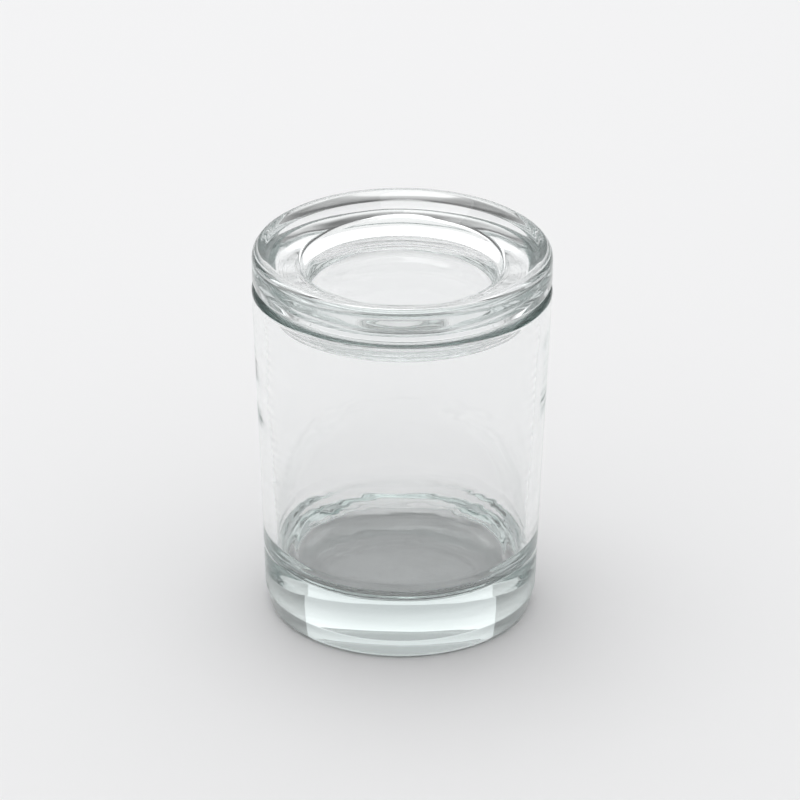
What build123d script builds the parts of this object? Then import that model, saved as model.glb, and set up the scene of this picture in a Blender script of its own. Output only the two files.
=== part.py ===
"""Empty candle jar: a thick-bottomed glass tumbler and its pressed glass lid with a clear finned seal.

Millimetres, +Z up. The origin is the centre of the circle that the jar stands on.
Every piece is a lathe shape about Z, drawn as a half section in the XZ plane.
"""

from build123d import *

import os

# ---- jar ----
jar_height = 94.2
rim_radius = 40.0
foot_radius = 36.3
toe_radius = 35.1
heel_height = 6.0
wall_thickness = 3.3
base_thickness = 14.5
floor_corner_radius = 9.0
heel_rounding = 1.5
toe_rounding = 1.8
rim_edge_radius = 1.6
punt_radius = 30.5
punt_depth = 1.0

# ---- lid ----
lid_radius = 39.9
lid_thickness = 10.0
lid_top_edge_radius = 2.4
lid_under_edge_radius = 2.4
crown_width = 3.4
crown_rounding = 3.0
well_radius = 27.0
well_floor_radius = 24.0
well_lip_drop = 3.9
well_depth = 7.8
well_lip_radius = 1.8
well_corner_radius = 3.0
plug_radius = 29.0
plug_depth = 10.2
plug_edge_radius = 3.4

# ---- seal ----
sleeve_thickness = 1.4
sleeve_height = 6.2
sleeve_clearance = 0.03
fin_count = 4
fin_thickness = 0.5
fin_step = 0.6
fin_gap_to_wall = 0.3

# The wall leans outwards by the same amount inside and outside.
lean = (rim_radius - foot_radius) / jar_height


def outer_radius(height):
    """Radius of the jar's outside at a height above the table, as if the wall ran straight down to it."""
    return foot_radius + lean * height


def bore_radius(height):
    """Radius of the jar's inside at a height above the table."""
    return outer_radius(height) - wall_thickness


def round_corner(section, radius, across, up):
    """Round the corner of a section that lies nearest to a point."""
    corner = section.vertices().sort_by_distance((across, up, 0))[0]
    fillet(corner, radius)


# The tumbler: solid glass at the foot, a slightly flared wall and a fire-polished rim.
# The hollow under the foot is a shallow dome whose arc meets the foot ring at the edge of the hollow.
dome_radius = (punt_radius**2 + punt_depth**2) / (2 * punt_depth)

with BuildPart() as glass_jar:
    with BuildSketch(Plane.XZ) as jar_section:
        with BuildLine():
            RadiusArc((0, punt_depth), (punt_radius, 0), dome_radius)
            Polyline(
                (punt_radius, 0),
                (toe_radius, 0),
                (outer_radius(heel_height), heel_height),
                (rim_radius, jar_height),
                (bore_radius(jar_height), jar_height),
                (bore_radius(base_thickness), base_thickness),
                (0, base_thickness),
                (0, punt_depth),
            )
        make_face()
        round_corner(jar_section, toe_rounding, toe_radius, 0)
        round_corner(jar_section, heel_rounding, outer_radius(heel_height), heel_height)
        round_corner(jar_section, rim_edge_radius, rim_radius, jar_height)
        round_corner(jar_section, rim_edge_radius, bore_radius(jar_height), jar_height)
        round_corner(jar_section, floor_corner_radius, bore_radius(base_thickness), base_thickness)
    revolve(axis=Axis.Z)

# The lid: a thick rounded disc resting on the rim, with a plug that drops into the mouth.
# Its top slopes down from a narrow crown near the edge to the lip of the well.
lid_under = jar_height
lid_top = lid_under + lid_thickness
crown_radius = lid_radius - crown_width
well_lip = lid_top - well_lip_drop
well_floor = well_lip - well_depth
plug_bottom = lid_under - plug_depth

with BuildPart() as glass_lid:
    with BuildSketch(Plane.XZ) as lid_section:
        with BuildLine():
            Polyline(
                (0, plug_bottom),
                (plug_radius, plug_bottom),
                (plug_radius, lid_under),
                (lid_radius, lid_under),
                (lid_radius, lid_top),
                (crown_radius, lid_top),
                (well_radius, well_lip),
                (well_floor_radius, well_floor),
                (0, well_floor),
                close=True,
            )
        make_face()
        round_corner(lid_section, plug_edge_radius, plug_radius, plug_bottom)
        round_corner(lid_section, lid_under_edge_radius, lid_radius, lid_under)
        round_corner(lid_section, crown_rounding, crown_radius, lid_top)
        round_corner(lid_section, lid_top_edge_radius, lid_radius, lid_top)
        round_corner(lid_section, well_lip_radius, well_radius, well_lip)
        round_corner(lid_section, well_corner_radius, well_floor_radius, well_floor)
    revolve(axis=Axis.Z)

# The seal: a clear sleeve stretched over the plug, with thin fins that reach for the jar's wall.
# The lowest fin is the narrowest, and each one above reaches a step further out.
sleeve_top = lid_under
sleeve_bottom = sleeve_top - sleeve_height
sleeve_bore = plug_radius + sleeve_clearance
fin_pitch = (sleeve_height - fin_thickness) / fin_count

with BuildPart() as seal_ring:
    with BuildSketch(Plane.XZ):
        with Locations((sleeve_bore, sleeve_bottom)):
            Rectangle(sleeve_thickness, sleeve_height, align=(Align.MIN, Align.MIN))
        for fin in range(fin_count):
            fin_bottom = sleeve_bottom + fin * fin_pitch
            fin_tip = bore_radius(fin_bottom) - fin_gap_to_wall - fin_step * (fin_count - 1 - fin)
            with Locations((sleeve_bore, fin_bottom)):
                Rectangle(fin_tip - sleeve_bore, fin_thickness, align=(Align.MIN, Align.MIN))
    revolve(axis=Axis.Z)

glass_jar.part.label = "glass_jar"
glass_lid.part.label = "glass_lid"
seal_ring.part.label = "seal_ring"

os.makedirs("parts", exist_ok=True)
export_step(glass_jar.part, "parts/glass_jar.step")
export_step(glass_lid.part, "parts/glass_lid.step")
export_step(seal_ring.part, "parts/seal_ring.step")
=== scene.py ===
"""Empty candle jar: the glass pieces and their seal in fine detail, on a pale studio floor."""

import math

import bmesh
import bpy
from mathutils import Matrix, Vector, noise


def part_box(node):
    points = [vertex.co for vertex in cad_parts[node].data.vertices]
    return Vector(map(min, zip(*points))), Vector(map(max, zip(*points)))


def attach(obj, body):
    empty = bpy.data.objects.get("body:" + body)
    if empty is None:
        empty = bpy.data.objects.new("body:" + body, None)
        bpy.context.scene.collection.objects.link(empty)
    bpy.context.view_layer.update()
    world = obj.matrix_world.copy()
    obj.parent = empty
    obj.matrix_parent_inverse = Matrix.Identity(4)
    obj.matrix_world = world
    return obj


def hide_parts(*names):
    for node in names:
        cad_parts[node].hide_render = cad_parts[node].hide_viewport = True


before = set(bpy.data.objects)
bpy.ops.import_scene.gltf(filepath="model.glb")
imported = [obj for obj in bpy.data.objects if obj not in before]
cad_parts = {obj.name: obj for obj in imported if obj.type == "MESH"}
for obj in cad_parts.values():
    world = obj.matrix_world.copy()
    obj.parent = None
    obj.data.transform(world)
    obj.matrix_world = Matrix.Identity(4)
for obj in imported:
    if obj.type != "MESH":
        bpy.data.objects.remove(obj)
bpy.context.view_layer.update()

MM = 0.001
SEGMENTS = 288
ARC_STEP = math.radians(7)
JAR_LONGEST_RUN = 1.5
LID_LONGEST_RUN = 1.2

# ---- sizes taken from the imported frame, in millimetres ----
jar_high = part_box("glass_jar")[1]
lid_low, lid_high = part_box("glass_lid")
seal_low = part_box("seal_ring")[0]
JAR_HEIGHT = jar_high.z / MM
LID_RADIUS = lid_high.x / MM
LID_THICKNESS = lid_high.z / MM - JAR_HEIGHT
PLUG_DEPTH = JAR_HEIGHT - lid_low.z / MM
SLEEVE_HEIGHT = JAR_HEIGHT - seal_low.z / MM

# ---- sizes repeated from the CAD model, in millimetres ----
RIM_RADIUS = 40.0
FOOT_RADIUS = 36.3
WALL = 3.3
BASE = 14.5
TOE_RADIUS = 35.1
TOE_ROUNDING = 1.8
HEEL_HEIGHT = 6.0
HEEL_ROUNDING = 1.5
RIM_EDGE = 1.6
PUNT_RADIUS = 30.5
PUNT_DEPTH = 1.0

LID_TOP_EDGE = 2.4
LID_UNDER_EDGE = 2.4
CROWN = 3.4
CROWN_ROUNDING = 3.0
WELL_LIP_DROP = 3.9
WELL_RADIUS = 27.0
WELL_LIP = 1.8
WELL_DEPTH = 7.8
WELL_FLOOR_RADIUS = 24.0
WELL_CORNER = 3.0
PLUG_RADIUS = 29.0
PLUG_EDGE = 3.4

SLEEVE = 1.4
SLEEVE_CLEARANCE = 0.03
FINS = 4
FIN = 0.5
FIN_GAP = 0.3
FIN_STEP = 0.6

# ---- finer shape than the CAD model has, in millimetres ----
# The CAD model's floor corner is a plain rounding.
# Here it is a fuller curve, with the rings that pressing leaves.
FLOOR_RADIUS = 22.3
FLOOR_CROWN = 0.6
CORNER_TOP = 23.6
CORNER_FULLNESS = 2.25
CORNER_RIPPLE = 0.23
CORNER_WAVES = 3.73
CORNER_PHASE = 2.0
PLUG_ROOT = 0.4
SEAL_DROP = 0.05
FIN_EDGE = 0.2
FIN_ROOT = 0.3
FLUTE = 0.12
FLUTES_PER_RADIAN = 40

# ---- unevenness of the pressed glass, in millimetres ----
OUTSIDE_WAVE = 0.05
INSIDE_WAVE = 0.12
CORNER_WAVE = 0.3
WELL_WAVE = 0.3
WAVE_PER_MM = 0.06
CORNER_MIDDLE = 3
CORNER_REACH = 8

# Each wave has its own scale round the axis and its own place in the noise.
JAR_OUTSIDE_NOISE = (2.0, 3.0)
JAR_INSIDE_NOISE = (2.6, 11.0)
JAR_FLOOR_NOISE = (2.2, 29.0)
LID_OUTSIDE_NOISE = (2.0, 7.0)
WELL_SIDE_NOISE = (3.0, 17.0)
WELL_FLOOR_NOISE = (2.4, 41.0)
SEAL_NOISE_PLACE = 5.0

lean = (RIM_RADIUS - FOOT_RADIUS) / JAR_HEIGHT


def outer_radius(height):
    """Outside radius of the jar at a height, in millimetres."""
    return FOOT_RADIUS + lean * height


def bore_radius(height):
    """Inside radius of the jar at a height, in millimetres."""
    return outer_radius(height) - WALL


def rounded_outline(corners):
    """Turn (radius, height, rounding) corners into an outline whose roundings are true arcs."""
    outline = []
    for index, (across, up, rounding) in enumerate(corners):
        here = Vector((across, up))
        if rounding == 0 or index in (0, len(corners) - 1):
            outline.append(here)
            continue
        before = (Vector(corners[index - 1][:2]) - here).normalized()
        after = (Vector(corners[index + 1][:2]) - here).normalized()
        opening = before.angle(after)
        reach = rounding / math.tan(opening / 2)
        centre = here + (before + after).normalized() * rounding / math.sin(opening / 2)
        first = here + before * reach - centre
        turn = first.angle_signed(here + after * reach - centre)
        count = max(2, round(abs(turn) / ARC_STEP))
        for part in range(count + 1):
            outline.append(centre + Matrix.Rotation(-turn * part / count, 2) @ first)
    return outline


def subdivide_outline(outline, longest):
    """Cut long straight runs so that the surface can carry slow ripples."""
    fine = [outline[0]]
    for start, end in zip(outline, outline[1:]):
        count = max(1, math.ceil((end - start).length / longest))
        fine += [start.lerp(end, part / count) for part in range(1, count + 1)]
    return fine


def lathe(name, outline, ripple=None, closed=False):
    """Revolve an outline about Z. An outline that starts and ends on the axis gets a single point there."""
    mesh = bpy.data.meshes.new(name)
    builder = bmesh.new()
    rings = []
    for across, up in outline:
        if across < 1e-6:
            rings.append([builder.verts.new((0, 0, up * MM))])
            continue
        ring = []
        for part in range(SEGMENTS):
            angle = 2 * math.pi * part / SEGMENTS
            radius, height = across, up
            if ripple:
                radius, height = ripple(across, up, angle)
            point = Vector((radius * math.cos(angle) * MM, radius * math.sin(angle) * MM, height * MM))
            ring.append(builder.verts.new(point))
        rings.append(ring)
    pairs = list(zip(rings, rings[1:]))
    if closed:
        pairs.append((rings[-1], rings[0]))
    for low, high in pairs:
        for part in range(SEGMENTS):
            following = (part + 1) % SEGMENTS
            if len(low) == 1:
                builder.faces.new((low[0], high[following], high[part]))
            elif len(high) == 1:
                builder.faces.new((low[part], low[following], high[0]))
            else:
                builder.faces.new((low[part], low[following], high[following], high[part]))
    bmesh.ops.recalc_face_normals(builder, faces=builder.faces)
    for face in builder.faces:
        face.smooth = True
    builder.to_mesh(mesh)
    builder.free()
    piece = bpy.data.objects.new(name, mesh)
    bpy.context.scene.collection.objects.link(piece)
    return piece


GLASS_TINT = (0.80, 0.843, 0.836)
PLASTIC_TINT = (0.8, 0.8, 0.8)
GLASS_HAZE = (0.0, 0.012)
PLASTIC_HAZE = (0.03, 0.12)
GLASS_IOR = 1.52
PLASTIC_IOR = 1.49
SMEAR_PER_GRAIN = 3
SMEAR_FROM = 0.55
SMEAR_FULL = 0.85


def glass_material(name, tint, density, haze, wave, grain, stretch, ior):
    """Clear glass or plastic: absorbs a little on the way through, with a faint haze and a slow surface wave.

    haze is the least and most roughness, wave the height of the surface wave in metres and grain its scale.
    stretch is how many times longer the wave is round the piece than up it.
    """
    material = bpy.data.materials.new(name)
    material.use_nodes = True
    nodes = material.node_tree.nodes
    links = material.node_tree.links
    shader = nodes["Principled BSDF"]
    shader.inputs["Base Color"].default_value = (1.0, 1.0, 1.0, 1.0)
    shader.inputs["Transmission Weight"].default_value = 1.0
    shader.inputs["IOR"].default_value = ior
    place = nodes.new("ShaderNodeTexCoord")
    smear = nodes.new("ShaderNodeTexNoise")
    smear.inputs["Scale"].default_value = grain * SMEAR_PER_GRAIN
    roughness = nodes.new("ShaderNodeMapRange")
    roughness.inputs["From Min"].default_value = SMEAR_FROM
    roughness.inputs["From Max"].default_value = SMEAR_FULL
    roughness.inputs["To Min"].default_value = haze[0]
    roughness.inputs["To Max"].default_value = haze[1]
    ripple = nodes.new("ShaderNodeTexNoise")
    ripple.inputs["Scale"].default_value = grain
    bump = nodes.new("ShaderNodeBump")
    bump.inputs["Distance"].default_value = wave
    links.new(place.outputs["Object"], smear.inputs["Vector"])
    rings = nodes.new("ShaderNodeMapping")
    rings.inputs["Scale"].default_value = (1, 1, stretch)
    links.new(place.outputs["Object"], rings.inputs["Vector"])
    links.new(rings.outputs["Vector"], ripple.inputs["Vector"])
    links.new(smear.outputs["Fac"], roughness.inputs["Value"])
    links.new(roughness.outputs["Result"], shader.inputs["Roughness"])
    links.new(ripple.outputs["Fac"], bump.inputs["Height"])
    links.new(bump.outputs["Normal"], shader.inputs["Normal"])
    absorption = nodes.new("ShaderNodeVolumeAbsorption")
    absorption.inputs["Color"].default_value = (*tint, 1.0)
    absorption.inputs["Density"].default_value = density
    links.new(absorption.outputs["Volume"], nodes["Material Output"].inputs["Volume"])
    return material


jar_glass = glass_material(
    "jar_glass", GLASS_TINT, density=24.0, haze=GLASS_HAZE, wave=0.0001, grain=22.0, stretch=6,
    ior=GLASS_IOR)
lid_glass = glass_material(
    "lid_glass", GLASS_TINT, density=16.0, haze=GLASS_HAZE, wave=0.00006, grain=26.0, stretch=6,
    ior=GLASS_IOR)
seal_plastic = glass_material(
    "seal_plastic", PLASTIC_TINT, density=20.0, haze=PLASTIC_HAZE, wave=0.00003, grain=500.0, stretch=1,
    ior=PLASTIC_IOR)


def dome(radius, depth, count=16):
    """The hollow under the foot, from the axis out to its edge."""
    curvature = (radius ** 2 + depth ** 2) / (2 * depth)
    reach = math.asin(radius / curvature)
    angles = [reach * part / count for part in range(count + 1)]
    return [Vector((curvature * math.sin(a), depth - curvature * (1 - math.cos(a)))) for a in angles]


def floor_corner(count=60):
    """The soft corner between the wall and the floor of the jar, with the faint rings of pressing."""
    wide = bore_radius(CORNER_TOP) - FLOOR_RADIUS
    tall = CORNER_TOP - BASE
    outline = []
    for part in range(count + 1):
        share = part / count
        across = max(math.cos(share * math.pi / 2), 0.0)
        down = math.sin(share * math.pi / 2)
        swell = math.sin(2 * math.pi * CORNER_WAVES * share + CORNER_PHASE)
        ring = CORNER_RIPPLE * swell * math.sin(math.pi * share)
        radius = FLOOR_RADIUS + wide * across ** (2 / CORNER_FULLNESS) + ring * across
        height = CORNER_TOP - tall * down ** (2 / CORNER_FULLNESS) - ring * down
        outline.append(Vector((radius, height)))
    return outline


def floor_crown(count=12):
    """The floor of the jar, a little higher in the middle, from its edge in to the axis."""
    shares = [1 - part / count for part in range(1, count + 1)]
    return [Vector((FLOOR_RADIUS * share, BASE + FLOOR_CROWN * (1 - share ** 2))) for share in shares]


def waviness(angle, up, scale, place):
    """A smooth random value, between about -1 and 1, that closes on itself round the axis."""
    spot = Vector((math.cos(angle) * scale, math.sin(angle) * scale, up * WAVE_PER_MM + place))
    return noise.noise(spot)


def jar_ripple(across, up, angle):
    """Slight unevenness of pressed glass: most in the floor corner, least on the outside."""
    inside = across < bore_radius(up) + 1 and up > BASE - 1
    if not inside:
        return across - OUTSIDE_WAVE * (1 + waviness(angle, up, *JAR_OUTSIDE_NOISE)), up
    corner = max(0.0, 1 - abs(up - BASE - CORNER_MIDDLE) / CORNER_REACH) * min(1.0, across / FLOOR_RADIUS)
    amount = INSIDE_WAVE + CORNER_WAVE * corner
    return (across + amount * waviness(angle, up, *JAR_INSIDE_NOISE),
            up + corner * CORNER_WAVE * waviness(angle, across, *JAR_FLOOR_NOISE))


def lid_ripple(across, up, angle):
    """The well of the lid and the underside of its plug are less even than its polished top and edge."""
    well = up < JAR_HEIGHT + LID_THICKNESS - WELL_LIP_DROP + 1 and across < WELL_RADIUS + 2
    if not well:
        return across - OUTSIDE_WAVE * (1 + waviness(angle, up, *LID_OUTSIDE_NOISE)), up
    share = min(1.0, across / WELL_FLOOR_RADIUS) ** 3
    return (across + WELL_WAVE * share * waviness(angle, up, *WELL_SIDE_NOISE),
            up + WELL_WAVE * share * waviness(angle, across, *WELL_FLOOR_NOISE))


def seal_ripple(across, up, angle):
    """Fine flutes along the edges of the fins, as an injection mould leaves them."""
    if across < PLUG_RADIUS + SLEEVE + 1:
        return across, up
    flute = noise.noise(Vector((angle * FLUTES_PER_RADIAN, up, SEAL_NOISE_PLACE)))
    return across - FLUTE * (0.5 + 0.5 * flute), up


def make_jar():
    """The tumbler: the hollow under the foot, the outside, the rim, the bore and the floor."""
    walls = rounded_outline([
        (PUNT_RADIUS, 0, 0),
        (TOE_RADIUS, 0, TOE_ROUNDING),
        (outer_radius(HEEL_HEIGHT), HEEL_HEIGHT, HEEL_ROUNDING),
        (RIM_RADIUS, JAR_HEIGHT, RIM_EDGE),
        (bore_radius(JAR_HEIGHT), JAR_HEIGHT, RIM_EDGE),
        (bore_radius(CORNER_TOP), CORNER_TOP, 0),
    ])
    outline = dome(PUNT_RADIUS, PUNT_DEPTH) + walls[1:-1] + floor_corner() + floor_crown()
    jar = lathe("jar_tumbler", subdivide_outline(outline, JAR_LONGEST_RUN), jar_ripple)
    jar.data.materials.append(jar_glass)
    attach(jar, "jar")
    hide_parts("glass_jar")


def make_lid():
    """The lid: the plug, the thick rounded disc and the dished well in its top."""
    under = JAR_HEIGHT
    top = under + LID_THICKNESS
    lip = top - WELL_LIP_DROP
    floor = lip - WELL_DEPTH
    bottom = under - PLUG_DEPTH
    outline = rounded_outline([
        (0, bottom, 0),
        (PLUG_RADIUS, bottom, PLUG_EDGE),
        (PLUG_RADIUS, under, PLUG_ROOT),
        (LID_RADIUS, under, LID_UNDER_EDGE),
        (LID_RADIUS, top, LID_TOP_EDGE),
        (LID_RADIUS - CROWN, top, CROWN_ROUNDING),
        (WELL_RADIUS, lip, WELL_LIP),
        (WELL_FLOOR_RADIUS, floor, WELL_CORNER),
        (0, floor, 0),
    ])
    lid = lathe("lid_pressing", subdivide_outline(outline, LID_LONGEST_RUN), lid_ripple)
    lid.data.materials.append(lid_glass)
    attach(lid, "lid")
    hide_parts("glass_lid")


def make_seal():
    """The seal: a sleeve on the plug, with fins that reach further out the higher they are."""
    top = JAR_HEIGHT - SEAL_DROP
    bottom = top - SLEEVE_HEIGHT
    inner = PLUG_RADIUS + SLEEVE_CLEARANCE
    sleeve = inner + SLEEVE
    pitch = (SLEEVE_HEIGHT - FIN) / FINS
    corners = [(inner, top, 0), (inner, bottom, FIN_EDGE)]
    for fin in range(FINS):
        low = bottom + fin * pitch
        tip = bore_radius(low) - FIN_GAP - FIN_STEP * (FINS - 1 - fin)
        corners += [(tip, low, FIN_EDGE), (tip, low + FIN, FIN_EDGE), (sleeve, low + FIN, FIN_ROOT)]
        if fin < FINS - 1:
            corners.append((sleeve, low + pitch, FIN_ROOT))
    corners.append((sleeve, top, 0))
    seal = lathe("seal_fins", rounded_outline(corners), seal_ripple, closed=True)
    seal.data.materials.append(seal_plastic)
    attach(seal, "lid")
    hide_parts("seal_ring")


make_jar()
make_lid()
make_seal()


# ---- studio ----
PAPER = (0.86, 0.86, 0.865, 1)
FLOOR_HALF = 2.5
FLOOR_DROP = 0.0001
BACKDROP_PLACE = (0, 1.7, 0.95)
BACKDROP_TARGET = (0, 0, 0.1)
BACKDROP_WIDTH = 2.4
BACKDROP_HEIGHT = 1.5
BACKDROP_POWER = 5.2
BACKDROP_COLOUR = (0.97, 0.98, 1.0)
TOP_PLACE = (-0.25, 0.25, 1.6)
TOP_SIZE = 1.1
TOP_POWER = 4.0
ROOM = 0.14
FAR_SIDE = 0.42
CEILING = 1.05
CEILING_FROM = 0.35
CEILING_FULL = 0.55
FAR_SIDE_FROM = 0.1
FAR_SIDE_FULL = 0.5


def make_floor():
    """A plain sheet of pale paper, a hair below the foot."""
    mesh = bpy.data.meshes.new("studio_floor")
    corners = [(-FLOOR_HALF, -FLOOR_HALF), (FLOOR_HALF, -FLOOR_HALF), (FLOOR_HALF, FLOOR_HALF),
               (-FLOOR_HALF, FLOOR_HALF)]
    mesh.from_pydata([(*corner, -FLOOR_DROP) for corner in corners], [], [(0, 1, 2, 3)])
    floor = bpy.data.objects.new("studio_floor", mesh)
    bpy.context.scene.collection.objects.link(floor)
    material = bpy.data.materials.new("floor_paper")
    material.use_nodes = True
    shader = material.node_tree.nodes["Principled BSDF"]
    shader.inputs["Base Color"].default_value = PAPER
    shader.inputs["Roughness"].default_value = 0.9
    shader.inputs["Specular IOR Level"].default_value = 0.2
    floor.data.materials.append(material)


def area_light(name, place, target, width, depth, power, colour=(1, 1, 1)):
    """A soft rectangular panel at a place, facing a target."""
    data = bpy.data.lights.new(name, "AREA")
    data.shape = "RECTANGLE"
    data.size = width
    data.size_y = depth
    data.energy = power
    data.color = colour
    light = bpy.data.objects.new(name, data)
    light.location = place
    light.rotation_euler = (Vector(target) - Vector(place)).to_track_quat("-Z", "Y").to_euler()
    bpy.context.scene.collection.objects.link(light)


make_floor()
area_light("backdrop", BACKDROP_PLACE, BACKDROP_TARGET, BACKDROP_WIDTH, BACKDROP_HEIGHT, BACKDROP_POWER,
           BACKDROP_COLOUR)
area_light("top", TOP_PLACE, (0, 0, 0), TOP_SIZE, TOP_SIZE, TOP_POWER)


def make_world():
    """A dim room with a bright ceiling and a lighter far side, all of which show in the glass."""
    world = bpy.data.worlds.new("studio")
    world.use_nodes = True
    nodes = world.node_tree.nodes
    links = world.node_tree.links
    direction = nodes.new("ShaderNodeTexCoord")
    height = nodes.new("ShaderNodeSeparateXYZ")
    ceiling = nodes.new("ShaderNodeValToRGB")
    far_side = nodes.new("ShaderNodeValToRGB")
    brighter = nodes.new("ShaderNodeMixRGB")
    brighter.blend_type = "LIGHTEN"
    brighter.inputs["Fac"].default_value = 1.0
    links.new(direction.outputs["Generated"], height.inputs["Vector"])
    links.new(height.outputs["Z"], ceiling.inputs["Fac"])
    links.new(height.outputs["Y"], far_side.inputs["Fac"])
    links.new(ceiling.outputs["Color"], brighter.inputs["Color1"])
    links.new(far_side.outputs["Color"], brighter.inputs["Color2"])
    links.new(brighter.outputs["Color"], nodes["Background"].inputs["Color"])
    stops = ceiling.color_ramp.elements
    stops[0].position = CEILING_FROM
    stops[0].color = (ROOM, ROOM, ROOM, 1)
    stops[1].position = CEILING_FULL
    stops[1].color = (CEILING, CEILING, CEILING, 1)
    stops = far_side.color_ramp.elements
    stops[0].position = FAR_SIDE_FROM
    stops[0].color = (ROOM, ROOM, ROOM, 1)
    stops[1].position = FAR_SIDE_FULL
    stops[1].color = (FAR_SIDE, FAR_SIDE, FAR_SIDE, 1)
    bpy.context.scene.world = world


make_world()

# ---- camera ----
ELEVATION = math.radians(26.5)
DISTANCE = 1.8
ROLL = math.radians(0.33)
TARGET = Vector((-0.0004, 0, 0.0593))
SENSOR_WIDTH = 36
LENS = 303.2325
BOUNCES = 64
back = Vector((0, -math.cos(ELEVATION), math.sin(ELEVATION)))
camera_data = bpy.data.cameras.new("camera")
camera_data.sensor_width = SENSOR_WIDTH
camera_data.lens = LENS
camera = bpy.data.objects.new("camera", camera_data)
camera.matrix_world = (Matrix.Translation(TARGET + back * DISTANCE)
                       @ Matrix.Rotation(math.pi / 2 - ELEVATION, 4, "X")
                       @ Matrix.Rotation(ROLL, 4, "Z"))
bpy.context.scene.collection.objects.link(camera)
bpy.context.scene.camera = camera

scene = bpy.context.scene
scene.view_settings.view_transform = "Standard"
scene.view_settings.look = "Medium High Contrast"
scene.view_settings.exposure = -0.3
# Light turns back many times inside thick glass, and each turn counts as a bounce.
scene.cycles.max_bounces = BOUNCES
scene.cycles.glossy_bounces = BOUNCES
scene.cycles.transmission_bounces = BOUNCES
